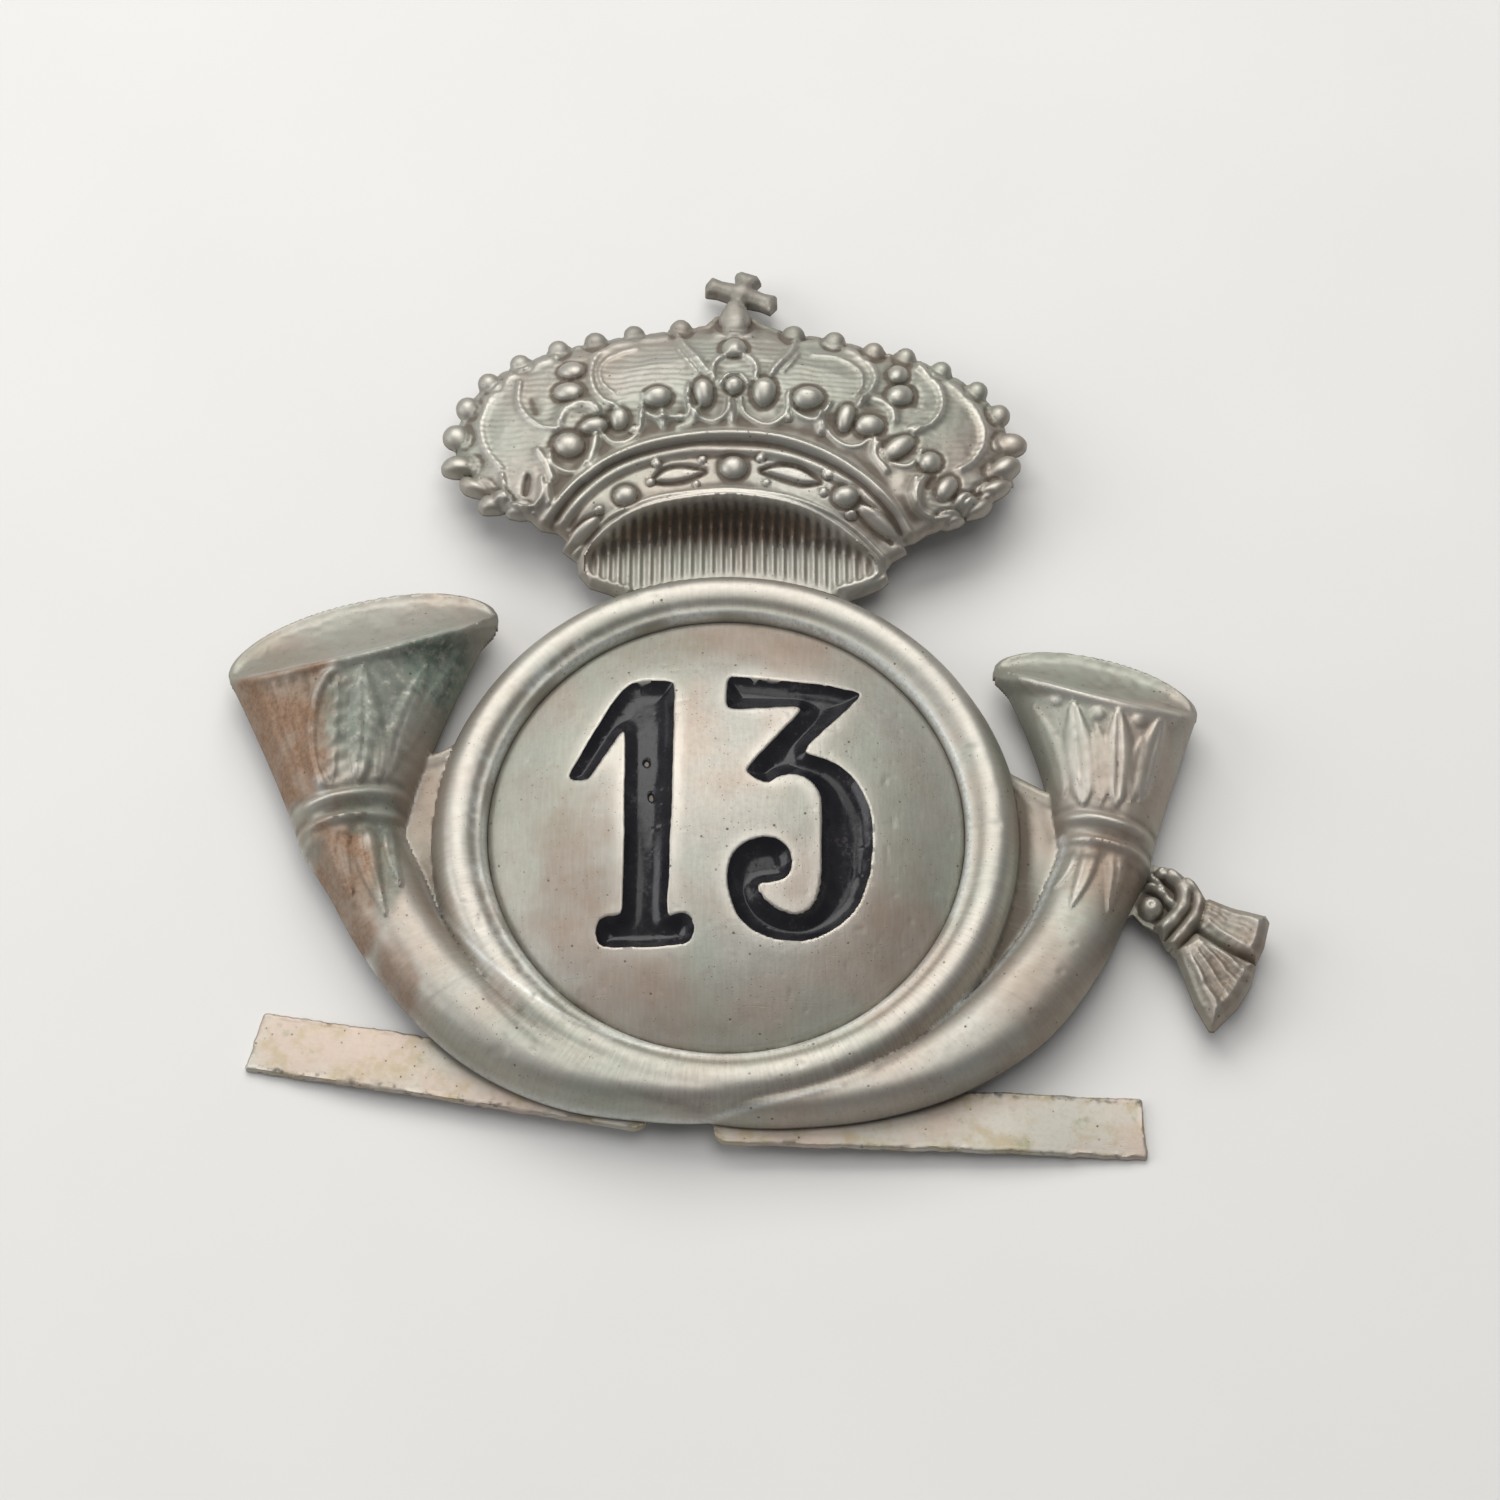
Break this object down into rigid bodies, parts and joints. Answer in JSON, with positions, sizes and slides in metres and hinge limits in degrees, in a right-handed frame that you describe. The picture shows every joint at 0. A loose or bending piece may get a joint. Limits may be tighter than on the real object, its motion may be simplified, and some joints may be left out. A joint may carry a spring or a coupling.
{
  "type": "cap badge",
  "caption": "Struck metal cap badge: a coiled hunting horn with two bells round a domed numbered disc, under a pearled crown, held on by bendable strap prongs.",
  "frame": {"origin": "on the axis of the number disc, in the plane of the badge back", "axes": "+Z out of the front face, +Y up the badge towards the crown, +X to the right seen from the front"},
  "size_m": [0.0661, 0.0626, 0.0073],
  "materials": {
    "horn_metal": "satin nickel silver, tarnished brown in the hollows, green verdigris on the large bell",
    "disc_metal": "satin nickel silver, fine scratches",
    "crown_metal": "satin nickel silver, worn bright on the high points",
    "black_lacquer": "glossy black lacquer, chipped",
    "strap_metal": "dull pale nickel silver, stained, edges nicked",
    "solder": "dull grey solder"
  },
  "bodies": {
    "badge": {"horn_shell": "horn_metal", "number_disc": "disc_metal", "numeral_1_lacquer": "black_lacquer", "numeral_3_lacquer": "black_lacquer", "crown_shell": "crown_metal", "cord_tassel": "horn_metal", "left_prong_foot": "strap_metal", "right_prong_foot": "strap_metal", "left_foot_solder": "solder", "right_foot_solder": "solder", "crown_solder_left": "solder", "crown_solder_right": "solder", "disc_solder_left": "solder", "disc_solder_right": "solder", "tassel_solder": "solder"},
    "left_prong": {"left_prong": "strap_metal"},
    "right_prong": {"right_prong": "strap_metal"}
  },
  "joints": [
    {"name": "left_prong_bend", "type": "hinge", "parent": "badge", "child": "left_prong", "pos_m": [-0.0074, -0.017, -0.0004], "axis": [-0.1857, -0.9826, 0], "range_deg": [0, 86]},
    {"name": "right_prong_bend", "type": "hinge", "parent": "badge", "child": "right_prong", "pos_m": [0.0022, -0.0183, -0.0004], "axis": [0.0175, 0.9998, 0], "range_deg": [0, 86]}
  ]
}
